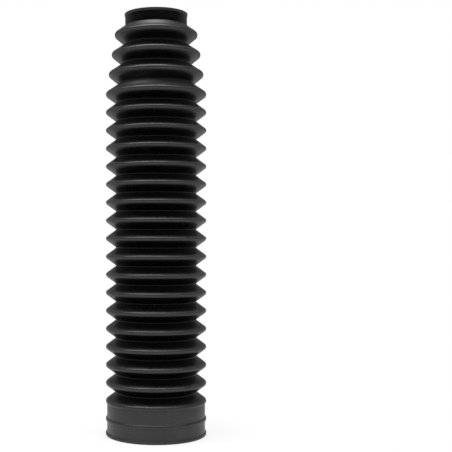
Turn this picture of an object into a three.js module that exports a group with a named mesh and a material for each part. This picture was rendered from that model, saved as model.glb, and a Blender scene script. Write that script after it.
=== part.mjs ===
import * as THREE from "three";

// Bellows gaiter for a motorcycle fork leg, moulded in one piece from rubber.
// Millimetres, +Z up: the axis is Z and the bottom face lies on z = 0.

// Top collar, which grips the fork tube
const topBore = 37;
const topCollarHeight = 7.85;
const lipProud = 0.4;
const lipLean = 0.15;
const lipHeight = 1.7;
const lipFade = 0.25;
const lipRounding = 0.25;

// Bottom collar, which fits over the fork's lower leg
const bottomBore = 60;
const bottomWall = 2.15;
const beadProud = 0.8;
const middleBeadRise = 10.6;
const middleBeadHeight = 2.8;
const middleBeadRounding = 0.7;
const rimBeadHeight = 1.8;
const rimBeadRounding = 0.3;

// Bellows: folds of full size, the lowest of which is the bottom collar's shoulder
const wall = 1.85;
const fullFolds = 18;
const foldPitch = 11.8;
const foldDepth = 6.6;
const crestRounding = 1.7;
const rootRounding = 0.3;
const shoulderRise = 22;

// Taper: wider spaced folds that shrink towards the neck
const taperFolds = 3;
const taperPitch = 13;
const taperDepth = 7.2;
const taperRootLift = 0.2;
const taperRounding = 2.1;
const taperStep = 1.95;
const firstCrestProud = 6.85;
const neckRise = 6.05;

// Fineness of the turned surface
const turnSteps = 40;
const arcCorners = 2;
const sameCorner = 1e-6;

const boreRadius = topBore / 2;
const neckRadius = boreRadius + wall;
const socketRadius = bottomBore / 2;
const collarRadius = socketRadius + bottomWall;
const crestRadius = collarRadius + beadProud;
const taperFoot = shoulderRise + (fullFolds - 1) * foldPitch;
const firstCrestHeight = taperFoot + taperFolds * taperPitch;
const neckHeight = firstCrestHeight + neckRise;
const topHeight = neckHeight + topCollarHeight;

const point = (radius, height) => new THREE.Vector2(radius, height);

// A bend of the wall. Its rounding is that of the outer skin: positive at a crest, negative at a root.
function bend(radius, height, rounding) {
  return { centre: point(radius - rounding, height), rounding };
}

// The angle that the outward normal of the straight flank between two bends makes with the radial.
function flankNormal(upper, lower) {
  const run = lower.centre.clone().sub(upper.centre);
  const lean = Math.acos((upper.rounding - lower.rounding) / run.length());
  return Math.atan2(run.y, run.x) + lean;
}

// The corners of flats that touch an arc, as the normal swings from one angle to the other.
function arc(centre, radius, from, to, corners) {
  const swing = (to - from) / corners;
  const reach = radius / Math.cos(swing / 2);
  return Array.from({ length: corners }, (_, i) => {
    const angle = from + (i + 0.5) * swing;
    return point(centre.x + reach * Math.cos(angle), centre.y + reach * Math.sin(angle));
  });
}

// Crests from the neck down to the shoulder, each as its radius and height.
function crestList() {
  const crests = [];
  for (let i = 0; i < taperFolds; i++) {
    const radius = Math.min(crestRadius, neckRadius + firstCrestProud + i * taperStep);
    crests.push(point(radius, firstCrestHeight - i * taperPitch));
  }
  for (let i = 0; i < fullFolds; i++) {
    crests.push(point(crestRadius, taperFoot - i * foldPitch));
  }
  return crests;
}

// Every bend from the neck to the shoulder: a root lies midway between two crests, a little
// higher in the taper.
function bendList() {
  const bends = [bend(neckRadius, neckHeight, -rootRounding)];
  crestList().forEach((crest, i, crests) => {
    if (i > 0) {
      const middle = crest.clone().add(crests[i - 1]).multiplyScalar(0.5);
      const tapered = i <= taperFolds;
      const depth = tapered ? taperDepth : foldDepth;
      const lift = tapered ? taperRootLift : 0;
      bends.push(bend(middle.x - depth, middle.y + lift, -rootRounding));
    }
    bends.push(bend(crest.x, crest.y, i <= taperFolds ? taperRounding : crestRounding));
  });
  return bends;
}

const bends = bendList();
const normals = bends.slice(1).map((lower, i) => flankNormal(bends[i], lower));
const shoulderEnd = -Math.acos(1 - beadProud / crestRounding);

// The bellows' wall at a depth under the outer skin. Bends that are tight there become one corner.
function skin(depth, count) {
  return bends.slice(0, count).flatMap(({ centre, rounding }, i) => {
    const radius = rounding - depth;
    const from = i === 0 ? 0 : normals[i - 1];
    const to = i < normals.length ? normals[i] : shoulderEnd;
    const corners = Math.abs(radius) > rootRounding ? arcCorners : 1;
    return arc(centre, radius, from, to, corners);
  });
}

// The top collar's outside, from the rim face down to its plain part. The lip leans in downwards.
function lip() {
  const lipRadius = neckRadius + lipProud;
  const centre = point(lipRadius - lipRounding, topHeight - lipRounding);
  return [
    point(centre.x, topHeight),
    ...arc(centre, lipRounding, Math.PI / 2, 0, arcCorners),
    point(lipRadius - lipLean, topHeight - lipHeight + lipFade),
    point(neckRadius, topHeight - lipHeight),
  ];
}

// A raised band with broken edges round the bottom collar.
function bead(top, bottom, edgeRounding) {
  const rounding = Math.min(edgeRounding, beadProud);
  return [
    point(collarRadius, top),
    point(crestRadius - rounding, top),
    point(crestRadius, top - rounding),
    point(crestRadius, bottom + rounding),
    point(crestRadius - rounding, bottom),
  ];
}

// The bottom collar's outside, from the foot of the shoulder down to the bottom face.
function bottomCollar() {
  const shoulderFoot = shoulderRise + crestRounding * Math.sin(shoulderEnd);
  const beadTop = middleBeadRise + middleBeadHeight / 2;
  const beadBottom = middleBeadRise - middleBeadHeight / 2;
  return [
    point(collarRadius, shoulderFoot),
    ...bead(beadTop, beadBottom, middleBeadRounding),
    point(collarRadius, beadBottom),
    ...bead(rimBeadHeight, 0, rimBeadRounding),
  ];
}

// The socket's blind end, where its wall meets the inside of the last flank.
function socketTop() {
  const normal = normals.at(-1);
  const root = bends.at(-2);
  const reach = root.rounding - wall;
  const x = root.centre.x + reach * Math.cos(normal);
  const y = root.centre.y + reach * Math.sin(normal);
  return point(socketRadius, y - (socketRadius - x) / Math.tan(normal));
}

// The closed section, down the outside and up the inside. Corners that fall together count
// once, and a lathe faces outwards when its profile runs the other way.
const section = [
  point(boreRadius, topHeight),
  ...lip(),
  ...skin(0, bends.length),
  ...bottomCollar(),
  point(socketRadius, 0),
  socketTop(),
  ...skin(wall, bends.length - 1).reverse(),
  point(boreRadius, topHeight),
].filter((corner, i, all) => i === 0 || corner.distanceTo(all[i - 1]) > sameCorner).reverse();

const rubber = new THREE.MeshStandardMaterial({
  color: 0x1c1c1c,
  roughness: 0.35,
  metalness: 0,
});

const gaiter = new THREE.Mesh(new THREE.LatheGeometry(section, turnSteps), rubber);
gaiter.name = "gaiter";
gaiter.rotation.x = Math.PI / 2;

const part = new THREE.Group();
part.add(gaiter);

export default part;
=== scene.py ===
import math
import bmesh
import bpy
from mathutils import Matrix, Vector


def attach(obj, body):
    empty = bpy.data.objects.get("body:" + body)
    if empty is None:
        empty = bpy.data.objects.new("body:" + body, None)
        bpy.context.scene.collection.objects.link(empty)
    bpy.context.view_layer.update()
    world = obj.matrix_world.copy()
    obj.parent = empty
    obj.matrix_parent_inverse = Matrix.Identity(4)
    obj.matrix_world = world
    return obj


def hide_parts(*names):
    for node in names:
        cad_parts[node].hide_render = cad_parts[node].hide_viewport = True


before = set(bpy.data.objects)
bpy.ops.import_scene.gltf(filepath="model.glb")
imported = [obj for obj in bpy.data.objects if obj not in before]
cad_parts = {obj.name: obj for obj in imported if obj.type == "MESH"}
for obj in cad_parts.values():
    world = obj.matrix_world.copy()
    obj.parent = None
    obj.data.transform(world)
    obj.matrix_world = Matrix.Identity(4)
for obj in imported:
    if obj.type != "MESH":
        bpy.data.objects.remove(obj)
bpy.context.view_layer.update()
bpy.ops.object.select_all(action="DESELECT")
mm = 0.001

# Where the photograph was taken from. Columns and rows are pixels of the 452 pixel picture.
viewpoint = {
    "imageWidth": 452,
    "axisColumn": 156.09,  # the gaiter's axis
    "horizonRow": 231.69,  # level with the lens
    "pixelSize": 0.6575 * mm,  # in the plane of the axis
    "distance": 595.2 * mm,  # from the lens to the axis
    "height": 132.7 * mm,  # of the lens over the floor
    "sensor": 36.0,
    "clipStart": 10 * mm,
}


def placeCamera(settings):
    bpy.ops.object.camera_add(
        location=(0, -settings["distance"], settings["height"]),
        rotation=(math.radians(90), 0, 0),
    )
    camera = bpy.context.object
    camera.name = "camera"
    width = settings["imageWidth"]
    lens = camera.data
    lens.sensor_width = settings["sensor"]
    lens.lens = settings["sensor"] * settings["distance"] / (settings["pixelSize"] * width)
    lens.shift_x = (width / 2 - settings["axisColumn"]) / width
    lens.shift_y = (settings["horizonRow"] - width / 2) / width
    lens.clip_start = settings["clipStart"]
    bpy.context.scene.camera = camera
    print("camera placed, lens", round(lens.lens, 1))


# Section of the moulding, in millimetres. Roundings are radii on the outer skin.
gaiter = {
    "topBore": 37,
    "topCollarHeight": 7.85,
    "lipProud": 0.4,
    "lipLean": 0.15,
    "lipHeight": 1.7,
    "lipFade": 0.25,
    "lipRounding": 0.25,
    "bottomBore": 60,
    "bottomWall": 2.15,
    "beadProud": 0.8,
    "beadFillet": 0.1,
    "middleBeadRise": 10.6,
    "middleBeadHeight": 2.8,
    "middleBeadCrown": 1.3,  # rounding of its upper edge
    "middleBeadRounding": 0.7,
    "rimBeadHeight": 1.8,
    "rimBeadRounding": 0.3,
    "wall": 1.85,
    "fullFolds": 18,
    "foldPitch": 11.8,
    "foldDepth": 6.6,
    "crestRounding": 1.7,
    "rootRounding": 0.3,
    "shoulderRise": 22,  # the lowest crest, where the bottom collar starts
    "taperFolds": 3,
    "taperPitch": 13,
    "taperDepth": 7.2,
    "taperRootLift": 0.2,
    "taperRounding": 2.1,
    "taperStep": 1.95,
    "firstCrestProud": 6.85,
    "neckRise": 6.05,
    "turnSteps": 128,
    "crestPieces": 8,
    "rootPieces": 4,
    "edgePieces": 6,
    "filletPieces": 3,
    "flankPieces": 3,
    "socketPieces": 4,
    "stepPieces": 2,  # of the short straights
    "weld": 0.001,
    "smoothAngle": 30,  # in degrees
}
boreRadius = gaiter["topBore"] / 2
neckRadius = boreRadius + gaiter["wall"]
socketRadius = gaiter["bottomBore"] / 2
collarRadius = socketRadius + gaiter["bottomWall"]
crestRadius = collarRadius + gaiter["beadProud"]
taperFoot = gaiter["shoulderRise"] + (gaiter["fullFolds"] - 1) * gaiter["foldPitch"]
firstCrestHeight = taperFoot + gaiter["taperFolds"] * gaiter["taperPitch"]
neckHeight = firstCrestHeight + gaiter["neckRise"]
topHeight = neckHeight + gaiter["topCollarHeight"]


def onArc(centre, radius, angle):
    return centre[0] + radius * math.cos(angle), centre[1] + radius * math.sin(angle)


# The pen draws the section in the XZ plane: its point is the one selected vertex.
def startLine(name, radius, height):
    bpy.ops.mesh.primitive_plane_add(size=mm)
    bpy.context.object.name = name
    bpy.ops.object.mode_set(mode="EDIT")
    bpy.ops.mesh.merge(type="CENTER")
    bpy.ops.transform.translate(value=(radius * mm, 0, height * mm))


def penPlace():
    mesh = bmesh.from_edit_mesh(bpy.context.object.data)
    return next(vertex.co.copy() for vertex in mesh.verts if vertex.select)


def drawTo(radius, height, pieces=1):
    step = (Vector((radius * mm, 0, height * mm)) - penPlace()) / pieces
    for _ in range(pieces):
        bpy.ops.mesh.extrude_region_move(TRANSFORM_OT_translate={"value": step})


def drawArc(centre, start, end, pieces):
    bpy.ops.mesh.spin(
        steps=pieces,
        angle=end - start,
        center=(centre[0] * mm, 0, centre[1] * mm),
        axis=(0, 1, 0),
    )


# A bend of the wall: the centre of its arc and its rounding, which is negative at a root.
def bend(radius, height, rounding):
    return {"centre": (radius - rounding, height), "rounding": rounding}


# Crests from the neck down to the shoulder, with a root midway between each two, a little higher
# in the taper.
def layOutBends():
    crests = []
    for i in range(gaiter["taperFolds"]):
        radius = neckRadius + gaiter["firstCrestProud"] + i * gaiter["taperStep"]
        height = firstCrestHeight - i * gaiter["taperPitch"]
        crests.append((min(radius, crestRadius), height))
    for i in range(gaiter["fullFolds"]):
        crests.append((crestRadius, taperFoot - i * gaiter["foldPitch"]))
    bends = [bend(neckRadius, neckHeight, -gaiter["rootRounding"])]
    for i, (radius, height) in enumerate(crests):
        if i > 0:
            tapered = i <= gaiter["taperFolds"]
            depth = gaiter["taperDepth"] if tapered else gaiter["foldDepth"]
            lift = gaiter["taperRootLift"] if tapered else 0
            midRadius = (radius + crests[i - 1][0]) / 2
            midHeight = (height + crests[i - 1][1]) / 2
            bends.append(bend(midRadius - depth, midHeight + lift, -gaiter["rootRounding"]))
        rounding = gaiter["taperRounding"] if i <= gaiter["taperFolds"] else gaiter["crestRounding"]
        bends.append(bend(radius, height, rounding))
    return bends


# The angle of a straight flank's outward normal, from the bends at its two ends.
def flankNormal(upper, lower):
    across = lower["centre"][0] - upper["centre"][0]
    down = lower["centre"][1] - upper["centre"][1]
    lean = math.acos((upper["rounding"] - lower["rounding"]) / math.hypot(across, down))
    return math.atan2(down, across) + lean


def giveAngles(bends):
    bends[0]["above"] = 0
    for upper, lower in zip(bends, bends[1:]):
        upper["below"] = lower["above"] = flankNormal(upper, lower)
    bends[-1]["below"] = -math.acos(1 - gaiter["beadProud"] / gaiter["crestRounding"])


# A flank and the arc at its end, at a depth under the outer skin. A tight arc is left a corner.
def followBend(turn, depth, start, end):
    radius = turn["rounding"] - depth
    drawTo(*onArc(turn["centre"], radius, turn[start]), gaiter["flankPieces"])
    if abs(radius) > gaiter["rootRounding"] / 2:
        pieces = gaiter["crestPieces"] if radius > 0 else gaiter["rootPieces"]
        drawArc(turn["centre"], turn[start], turn[end], pieces)


def drawTopCollar():
    lipRadius = neckRadius + gaiter["lipProud"]
    rounding = gaiter["lipRounding"]
    lipFoot = topHeight - gaiter["lipHeight"]
    centre = (lipRadius - rounding, topHeight - rounding)
    drawTo(centre[0], topHeight)
    drawArc(centre, math.pi / 2, 0, gaiter["edgePieces"])
    drawTo(lipRadius - gaiter["lipLean"], lipFoot + gaiter["lipFade"])
    drawTo(neckRadius, lipFoot)


# A raised band, drawn downwards: rounded upper edge, face, rounded lower edge. An upper edge that
# is rounded by less than the band stands proud starts from a fillet.
def drawBead(top, bottom, upper, lower):
    fillet = gaiter["beadFillet"]
    sweep = math.acos(1 - min(1, gaiter["beadProud"] / upper))
    centre = (crestRadius - upper, top - upper * math.sin(sweep))
    if upper < gaiter["beadProud"]:
        drawTo(collarRadius, top + fillet, gaiter["stepPieces"])
        drawArc((collarRadius + fillet, top + fillet), math.pi, math.pi * 1.5, gaiter["filletPieces"])
    drawTo(*onArc(centre, upper, sweep), gaiter["stepPieces"])
    drawArc(centre, sweep, 0, gaiter["crestPieces"])
    drawTo(crestRadius, bottom + lower)
    drawArc((crestRadius - lower, bottom + lower), 0, -math.pi / 2, gaiter["edgePieces"])


def drawBottomCollar():
    top = gaiter["middleBeadRise"] + gaiter["middleBeadHeight"] / 2
    bottom = gaiter["middleBeadRise"] - gaiter["middleBeadHeight"] / 2
    fillet = gaiter["beadFillet"]
    drawBead(top, bottom, gaiter["middleBeadCrown"], gaiter["middleBeadRounding"])
    drawTo(collarRadius + fillet, bottom)
    drawArc((collarRadius + fillet, bottom - fillet), math.pi / 2, math.pi, gaiter["filletPieces"])
    drawBead(gaiter["rimBeadHeight"], 0, gaiter["rimBeadRounding"], gaiter["rimBeadRounding"])


# The inside of the last flank meets the wall of the socket.
def socketTop(lastRoot):
    normal = lastRoot["below"]
    x, y = onArc(lastRoot["centre"], lastRoot["rounding"] - gaiter["wall"], normal)
    return y - (socketRadius - x) / math.tan(normal)


# The section is drawn down the outside and up the inside, then turned about the axis.
def mouldGaiter():
    bends = layOutBends()
    giveAngles(bends)
    startLine("moulded_gaiter", boreRadius, topHeight)
    drawTopCollar()
    for turn in bends:
        followBend(turn, 0, "above", "below")
    drawBottomCollar()
    drawTo(socketRadius, 0)
    drawTo(socketRadius, socketTop(bends[-2]), gaiter["socketPieces"])
    for turn in reversed(bends[:-1]):
        followBend(turn, gaiter["wall"], "below", "above")
    drawTo(boreRadius, topHeight, gaiter["stepPieces"])
    bpy.ops.mesh.select_all(action="SELECT")
    bpy.ops.mesh.remove_doubles(threshold=gaiter["weld"] * mm)
    bpy.ops.mesh.spin(steps=gaiter["turnSteps"], angle=2 * math.pi, center=(0, 0, 0), axis=(0, 0, 1))
    bpy.ops.mesh.select_all(action="SELECT")
    bpy.ops.mesh.remove_doubles(threshold=gaiter["weld"] * mm)
    bpy.ops.mesh.normals_make_consistent(inside=False)
    bpy.ops.object.mode_set(mode="OBJECT")
    bpy.ops.object.shade_smooth_by_angle(angle=math.radians(gaiter["smoothAngle"]))
    piece = bpy.context.object
    print("gaiter moulded,", len(piece.data.polygons), "faces")
    return piece


# One shader value. Sums and products of such values add Math nodes.
class Signal:
    def __init__(self, finish, socket):
        self.finish = finish
        self.socket = socket

    def __add__(self, other):
        return self.finish.math("ADD", self, other)

    def __sub__(self, other):
        return self.finish.math("SUBTRACT", self, other)

    def __rsub__(self, other):
        return self.finish.math("SUBTRACT", other, self)

    def __mul__(self, other):
        return self.finish.math("MULTIPLY", self, other)

    def __truediv__(self, other):
        return self.finish.math("DIVIDE", self, other)

    def __pow__(self, other):
        return self.finish.math("POWER", self, other)

    __radd__ = __add__
    __rmul__ = __mul__


# A node tree being written, of a material or of the world.
class Finish:
    def __init__(self, owner):
        owner.use_nodes = True
        self.tree = owner.node_tree
        self.tree.nodes.clear()

    def node(self, kind, settings, sockets):
        made = self.tree.nodes.new(kind)
        for name, value in settings.items():
            setattr(made, name, value)
        for name, value in sockets.items():
            if isinstance(value, Signal):
                self.tree.links.new(value.socket, made.inputs[name])
            else:
                made.inputs[name].default_value = value
        return made

    def value(self, kind, settings, sockets, output=0):
        return Signal(self, self.node(kind, settings, sockets).outputs[output])

    def math(self, operation, *values):
        return self.value("ShaderNodeMath", {"operation": operation}, dict(enumerate(values)))

    def fade(self, value, low, high, atLow=0.0, atHigh=1.0):
        sockets = {"Value": value, "From Min": low, "From Max": high, "To Min": atLow, "To Max": atHigh}
        return self.value("ShaderNodeMapRange", {"interpolation_type": "SMOOTHSTEP"}, sockets)

    def fadeOut(self, value, low, high):
        return self.fade(value, low, high, 1.0, 0.0)

    def noise(self, place, size, detail=2.0):
        sockets = {"Vector": place, "Scale": 1 / size, "Detail": detail}
        return self.value("ShaderNodeTexNoise", {}, sockets, "Fac")

    # The Mix node's colours are its inputs 6 and 7, and its output 2.
    def mix(self, factor, first, second):
        return self.value("ShaderNodeMix", {"data_type": "RGBA"}, {0: factor, 6: first, 7: second}, 2)

    def axes(self, vector):
        made = self.node("ShaderNodeSeparateXYZ", {}, {0: vector})
        return [Signal(self, output) for output in made.outputs]

    def rays(self, *kinds):
        path = self.node("ShaderNodeLightPath", {}, {})
        return [Signal(self, path.outputs[kind]) for kind in kinds]


def grey(level):
    return (level, level, level, 1)


# A fade's two ends, measured on from a start.
def beyond(start, ends):
    return start + ends[0], start + ends[1]


# Matt colours are linear, and sizes are in millimetres. A fade has its two ends.
rubber = {
    "crestColour": 0.0265,
    # Painted shade: the folds and what faces down go to this near black, and the mottle darkens towards
    # it.
    "shadedFoldColour": 0.0007,
    "rootColour": 0.0065,  # a painted highlight along the roots
    "topCollarColour": 0.001,
    "lipColour": 0.0207,
    "bottomCollarColour": 0.0222,
    "paintedShadeFade": (0.3, 2.0),  # depth under the crests
    "undersideFade": (-0.75, -0.15),  # the skin's slope, where -1 faces down
    "rootFade": (-0.2, 0),  # depth past that of a fold
    "rootEndFade": (1.0, 1.4),
    "topEdgeFade": (-0.2, 0.2),  # height over the foot of the top collar or its lip
    "shoulderFade": (0.4, 2.0),  # height over the shoulder
    "roughness": 0.25,
    "crestRoughness": 0.19,
    "topCollarRoughness": 0.2,
    "specular": 0.6,
    "mottleSize": 9,
    "mottleFade": (0.35, 0.65),  # of its noise, as for the scuffs and specks
    "mottleDepth": 0.14,
    "mottleRoughness": 0.06,
    "scuffLength": 5,
    "scuffWidth": 0.6,
    "scuffFade": (0.56, 0.72),
    "scuffColour": 0.035,
    "scuffRoughness": 0.4,
    "collarScuffs": 0.5,  # share of the scuffs that the bottom collar gets
    "speckSize": 0.7,
    "speckFade": (0.68, 0.76),
    "speckColour": 0.055,
    "grainSize": 0.35,
    "grainHeight": 0.003,
    "ringSize": 0.3,
    "ringSlant": 0.37,
    "ringHeight": 0.0015,
    "swellSize": 16,
    "swellHeight": 0.02,
}


# Where a point of the skin lies, in millimetres, how deep under the crests, and its slope.
def findSkin(finish):
    place = finish.value("ShaderNodeTexCoord", {}, {}, "Object")
    inMm = finish.value("ShaderNodeVectorMath", {"operation": "SCALE"}, {0: place, "Scale": 1 / mm})
    x, y, z = finish.axes(inMm)
    radius = (x * x + y * y) ** 0.5
    slope = gaiter["taperStep"] / gaiter["taperPitch"]
    taper = (firstCrestHeight - z) * slope + (neckRadius + gaiter["firstCrestProud"])
    depth = finish.math("MINIMUM", taper, crestRadius) - radius
    _, _, facing = finish.axes(finish.value("ShaderNodeTexCoord", {}, {}, "Normal"))
    return {"place": inMm, "x": x, "y": y, "z": z, "radius": radius, "depth": depth, "facing": facing}


# How much a point belongs to each part of the moulding, from 0 to 1, with painted shade in the folds
# and on what faces down, and a painted highlight along the roots.
def partSkin(finish, skin):
    z = skin["z"]
    depth = skin["depth"]
    # A painted highlight along the bottom of each fold.
    root = finish.fade(depth, *beyond(gaiter["foldDepth"], rubber["rootFade"]))
    root = root * finish.fadeOut(depth, *beyond(gaiter["foldDepth"], rubber["rootEndFade"]))
    # Painted shade, deeper under the crests, and on what faces down.
    paintedShade = finish.fade(depth, *rubber["paintedShadeFade"])
    shadedUnderside = finish.fadeOut(skin["facing"], *rubber["undersideFade"])
    lipFoot = topHeight - gaiter["lipHeight"]
    return {
        "paintedShade": finish.math("MAXIMUM", paintedShade, shadedUnderside),
        "root": root,
        "topCollar": finish.fade(z, *beyond(neckHeight, rubber["topEdgeFade"])),
        "lip": finish.fade(z, *beyond(lipFoot, rubber["topEdgeFade"])),
        "bottomCollar": finish.fadeOut(z, *beyond(gaiter["shoulderRise"], rubber["shoulderFade"])),
    }


# Scuffs along the outermost edges.
def scuffEdges(finish, skin, part):
    squash = rubber["scuffLength"] / rubber["scuffWidth"]
    sockets = {0: skin["x"], 1: skin["y"], 2: skin["z"] * squash}
    along = finish.value("ShaderNodeCombineXYZ", {}, sockets)
    scuff = finish.fade(finish.noise(along, rubber["scuffLength"], detail=3.0), *rubber["scuffFade"])
    spared = part["bottomCollar"] * (1 - rubber["collarScuffs"])
    return scuff * (1 - part["paintedShade"]) * (1 - spared)


# Painted shade makes the folds and undersides dark against greyer crests and collars, and a painted
# highlight lightens the roots, under a mottle, scuffs and specks of dust.
def paintSkin(finish, skin, part, mottle, scuff):
    colour = finish.mix(part["paintedShade"], grey(rubber["crestColour"]), grey(rubber["shadedFoldColour"]))
    # The roots take a painted highlight; the collars and lip take their own colours.
    for name in ("root", "bottomCollar", "topCollar", "lip"):
        colour = finish.mix(part[name], colour, grey(rubber[name + "Colour"]))
    colour = finish.mix(mottle * rubber["mottleDepth"], colour, grey(rubber["shadedFoldColour"]))
    colour = finish.mix(scuff, colour, grey(rubber["scuffColour"]))
    speck = finish.fade(finish.noise(skin["place"], rubber["speckSize"]), *rubber["speckFade"])
    return finish.mix(speck * (1 - part["paintedShade"]), colour, grey(rubber["speckColour"]))


# Two flanks that face the sky, under the neck and on the first fold of full size, carry a painted
# highlight: a pale matt ring all round, with a brighter painted patch toward one azimuth. Azimuths are
# in degrees from the front, positive to the right.
flankHighlight = {
    "neck": {
        "colour": 0.013,
        "patchColour": 0.148,
        "azimuth": -2,
        "innerFade": (19.7, 20.8),  # radii
        "outerFade": (22.8, 26.2),
    },
    "firstFold": {
        "colour": 0.02,
        "patchColour": 0.101,
        "azimuth": -21,
        "innerFade": (24.5, 27.0),
        "outerFade": (28.2, 31.0),
    },
    "footFade": (0, 0.8),  # height over the crest below
    "headFade": (-0.3, 0.3),  # height over the flank's upper end
    "neckGap": 0.2,  # from the upper end to the neck
    "roughness": 0.5,
    "patchPower": 16,
}


# How much of a painted highlight lies at a point: all round its flank, and in its patch.
def spreadFlankHighlight(finish, skin, side, foot, head):
    ring = finish.fade(skin["z"], *beyond(foot, flankHighlight["footFade"]))
    ring = ring * finish.fadeOut(skin["z"], *beyond(head, flankHighlight["headFade"]))
    turn = math.radians(side["azimuth"])
    toward = (skin["x"] * math.sin(turn) - skin["y"] * math.cos(turn)) / skin["radius"]
    toward = finish.math("MAXIMUM", toward, 0.0)
    across = finish.fade(skin["radius"], *side["innerFade"])
    across = across * finish.fadeOut(skin["radius"], *side["outerFade"])
    return ring, ring * across * toward ** flankHighlight["patchPower"]


# Paints the two flank highlights into the colour, and gives back where their rings lie, which are also
# made rougher.
def paintFlankHighlights(finish, skin, part, colour):
    firstRoot = taperFoot + gaiter["taperPitch"] / 2 + gaiter["taperRootLift"]
    flanks = {
        "neck": (firstCrestHeight, neckHeight - flankHighlight["neckGap"]),
        "firstFold": (taperFoot, firstRoot),
    }
    rings = []
    for name, (foot, head) in flanks.items():
        ring, patch = spreadFlankHighlight(finish, skin, flankHighlight[name], foot, head)
        colour = finish.mix(ring * part["paintedShade"], colour, grey(flankHighlight[name]["colour"]))
        colour = finish.mix(patch, colour, grey(flankHighlight[name]["patchColour"]))
        rings.append(ring)
    return colour, sum(rings) * part["paintedShade"]


def roughenSkin(part, mottle, scuff, highlightRings):
    crest = (1 - part["paintedShade"]) * (1 - part["bottomCollar"])
    places = (
        (crest, rubber["crestRoughness"]),
        (part["topCollar"], rubber["topCollarRoughness"]),
        (scuff, rubber["scuffRoughness"]),
        (highlightRings, flankHighlight["roughness"]),
    )
    roughness = mottle * rubber["mottleRoughness"] + rubber["roughness"]
    for mask, own in places:
        roughness = roughness + mask * (own - rubber["roughness"])
    return roughness


# Fine grain, faint rings from turning the mould, and a slow swell of the skin.
def grainSkin(finish, skin):
    grain = finish.noise(skin["place"], rubber["grainSize"], detail=3.0) * rubber["grainHeight"]
    across = skin["z"] + skin["radius"] * rubber["ringSlant"]
    sockets = {"W": across, "Scale": 1 / rubber["ringSize"], "Detail": 1.0}
    rings = finish.value("ShaderNodeTexNoise", {"noise_dimensions": "1D"}, sockets, "Fac")
    swell = finish.noise(skin["place"], rubber["swellSize"], detail=0.0) * rubber["swellHeight"]
    height = grain + rings * rubber["ringHeight"] + swell
    return finish.value("ShaderNodeBump", {}, {"Strength": 1.0, "Distance": mm, "Height": height})


def blackRubber():
    material = bpy.data.materials.new("moulded_rubber")
    finish = Finish(material)
    skin = findSkin(finish)
    part = partSkin(finish, skin)
    mottle = finish.fade(finish.noise(skin["place"], rubber["mottleSize"]), *rubber["mottleFade"])
    scuff = scuffEdges(finish, skin, part)
    colour = paintSkin(finish, skin, part, mottle, scuff)
    colour, highlightRings = paintFlankHighlights(finish, skin, part, colour)
    sockets = {
        "Base Color": colour,
        "Roughness": roughenSkin(part, mottle, scuff, highlightRings),
        "Specular IOR Level": rubber["specular"],
        "Normal": grainSkin(finish, skin),
    }
    shader = finish.value("ShaderNodeBsdfPrincipled", {}, sockets)
    finish.node("ShaderNodeOutputMaterial", {}, {"Surface": shader})
    print("rubber made,", len(material.node_tree.nodes), "nodes")
    return material


# Levels are how bright the gloss sees a thing, where white is 1. Lengths are in metres.
studio = {
    "matLight": 1.0,  # of the world on matt surfaces
    "roomLow": 0.52,  # the room low down in front
    "roomBehind": 0.2,
    "roomTurn": (-0.1, 0.4),  # from in front to behind, where 1 is straight back
    "roomRise": (0.08, 0.18),  # where the low part fades, where 1 is straight up
    "floorSide": 6.0,
    "floorColour": 0.8,
    "floorInFront": 0.52,
    "floorBehind": 0.48,
    "floorTurn": (-0.9, 0.7),
    "shadowShare": 0.25,  # how much of its own shading the floor shows by the gaiter
    "shadowFade": (0.035, 0.15),  # distance from the axis
    "ceiling": 1.3,
    "softboxGap": 0.01,  # from one softbox up to the next
    "softboxes": {
        "high_softbox": {"x": (-0.45, 0.25), "y": (-0.35, 0.25), "radiance": 3.45},
        "front_softbox": {"x": (-1.1, 1.25), "y": (-0.95, 0.05), "radiance": 1.05},
        "left_softbox": {"x": (-1.75, -0.45), "y": (-0.35, 0.05), "radiance": 2.2},
    },
}


def lightWorld():
    world = bpy.data.worlds.new("studio")
    world.cycles.sampling_method = "NONE"
    bpy.context.scene.world = world
    finish = Finish(world)
    camera, glossy, through = finish.rays("Is Camera Ray", "Is Glossy Ray", "Is Transmission Ray")
    _, back, up = finish.axes(finish.value("ShaderNodeTexCoord", {}, {}, "Generated"))
    behind = finish.fade(back, *studio["roomTurn"])
    low = finish.fade(up, *studio["roomRise"], studio["roomLow"], 0.0)
    room = low * (1 - behind) + behind * studio["roomBehind"]
    matt = 1 - finish.math("MAXIMUM", camera + through, glossy)
    strength = camera + through + glossy * room + matt * studio["matLight"]
    background = finish.value("ShaderNodeBackground", {}, {"Color": grey(1), "Strength": strength})
    finish.node("ShaderNodeOutputWorld", {}, {"Surface": background})


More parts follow.
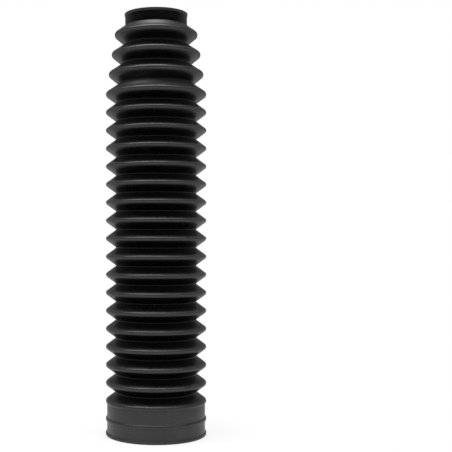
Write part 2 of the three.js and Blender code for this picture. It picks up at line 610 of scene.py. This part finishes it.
# A white floor that keeps a faint shadow close to the gaiter.
def layFloor():
    bpy.ops.mesh.primitive_plane_add(size=studio["floorSide"])
    floor = bpy.context.object
    floor.name = "floor"
    material = bpy.data.materials.new("white_floor")
    material.cycles.emission_sampling = "NONE"
    finish = Finish(material)
    camera, glossy, through = finish.rays("Is Camera Ray", "Is Glossy Ray", "Is Transmission Ray")
    place = finish.value("ShaderNodeTexCoord", {}, {}, "Object")
    away = finish.value("ShaderNodeVectorMath", {"operation": "LENGTH"}, {0: place}, "Value")
    _, back, _ = finish.axes(place)
    levels = (studio["floorInFront"], studio["floorBehind"])
    shine = finish.fade(back / away, *studio["floorTurn"], *levels)
    shadow = finish.fade(away, *studio["shadowFade"], studio["shadowShare"], 0.0)
    paint = finish.value("ShaderNodeBsdfDiffuse", {}, {"Color": grey(studio["floorColour"])})
    strength = camera + through + glossy * shine
    glow = finish.value("ShaderNodeEmission", {}, {"Color": grey(1), "Strength": strength})
    direct = finish.math("MAXIMUM", camera + through, glossy)
    surface = finish.value("ShaderNodeMixShader", {}, {0: direct * (1 - shadow), 1: paint, 2: glow})
    finish.node("ShaderNodeOutputMaterial", {}, {"Surface": surface})
    floor.data.materials.append(material)
    print("floor laid")


# Softboxes lie flat under the ceiling, one above the other, and shine down.
def hangSoftboxes():
    for i, (name, box) in enumerate(studio["softboxes"].items()):
        left, right = box["x"]
        near, far = box["y"]
        place = ((left + right) / 2, (near + far) / 2, studio["ceiling"] + i * studio["softboxGap"])
        bpy.ops.object.light_add(type="AREA", location=place)
        lamp = bpy.context.object
        lamp.name = name
        lamp.data.shape = "RECTANGLE"
        lamp.data.size = right - left
        lamp.data.size_y = far - near
        lamp.data.energy = box["radiance"] * math.pi * lamp.data.size * lamp.data.size_y
    print("studio lit by", len(studio["softboxes"]), "softboxes")


placeCamera(viewpoint)
moulding = mouldGaiter()
moulding.data.materials.append(blackRubber())
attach(moulding, "root")
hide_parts("gaiter")
lightWorld()
layFloor()
hangSoftboxes()
bpy.context.scene.view_settings.view_transform = "Standard"
